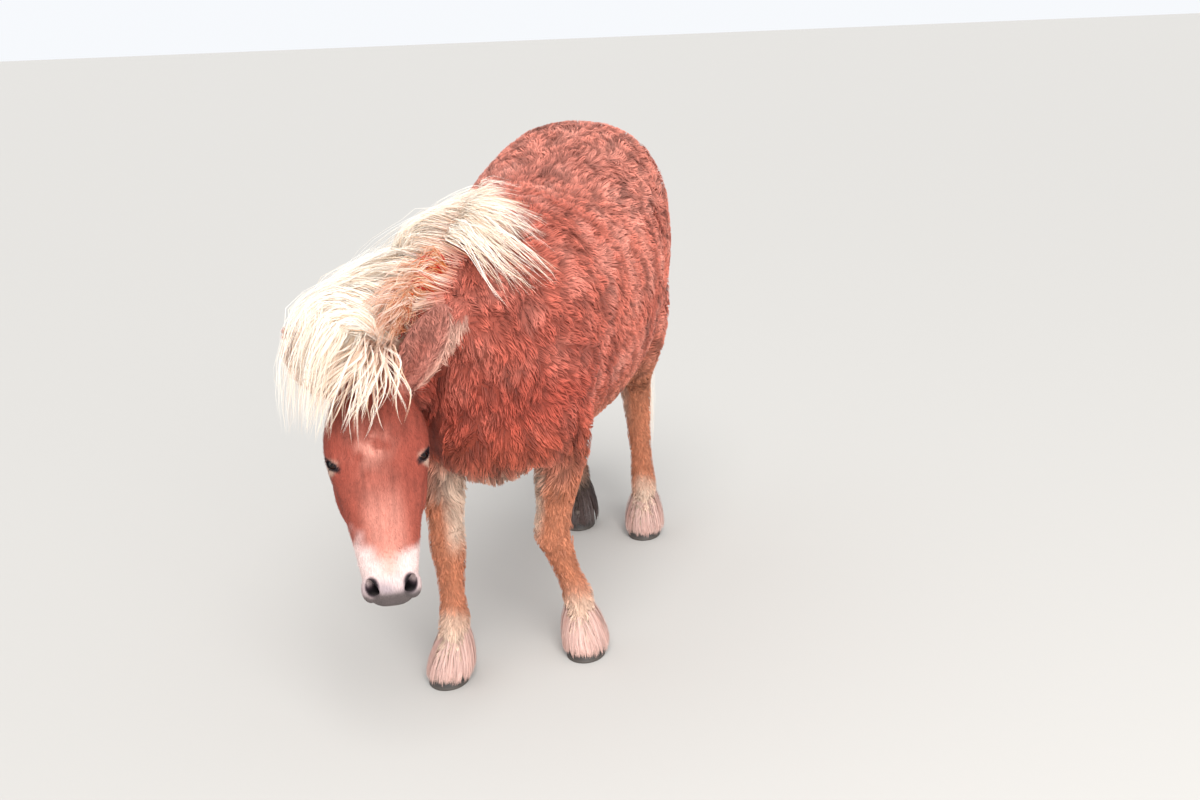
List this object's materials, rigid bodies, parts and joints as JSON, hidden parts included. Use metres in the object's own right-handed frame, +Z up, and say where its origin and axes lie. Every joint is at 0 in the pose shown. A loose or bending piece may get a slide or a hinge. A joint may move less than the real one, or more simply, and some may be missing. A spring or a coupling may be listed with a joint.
{
  "type": "shetland pony",
  "caption": "Life-size standing Shetland pony in winter coat, head lowered and turned, with full mane, forelock and tail.",
  "frame": {"origin": "middle of the model's footprint on the floor, at the bottom of the hooves", "axes": "+Z up, the pony faces -Y, its left side is +X"},
  "size_m": [0.5054, 1.4612, 1.0766],
  "materials": {
    "coat": "matt chestnut winter coat",
    "long_hair": "soft flaxen hair",
    "horn": "dull dark horn",
    "eye": "wet and glossy"
  },
  "bodies": {
    "root": {"torso": "coat", "neck": "coat", "head": "coat", "ear_left": "coat", "ear_right": "coat", "leg_fore_left": "coat", "leg_fore_right": "coat", "leg_hind_left": "coat", "leg_hind_right": "coat", "eye_left": "eye", "eye_right": "eye", "hoof_fore_left": "horn", "hoof_fore_right": "horn", "hoof_hind_left": "horn", "hoof_hind_right": "horn", "mane": "long_hair", "forelock": "long_hair", "tail": "long_hair"}
  },
  "joints": []
}
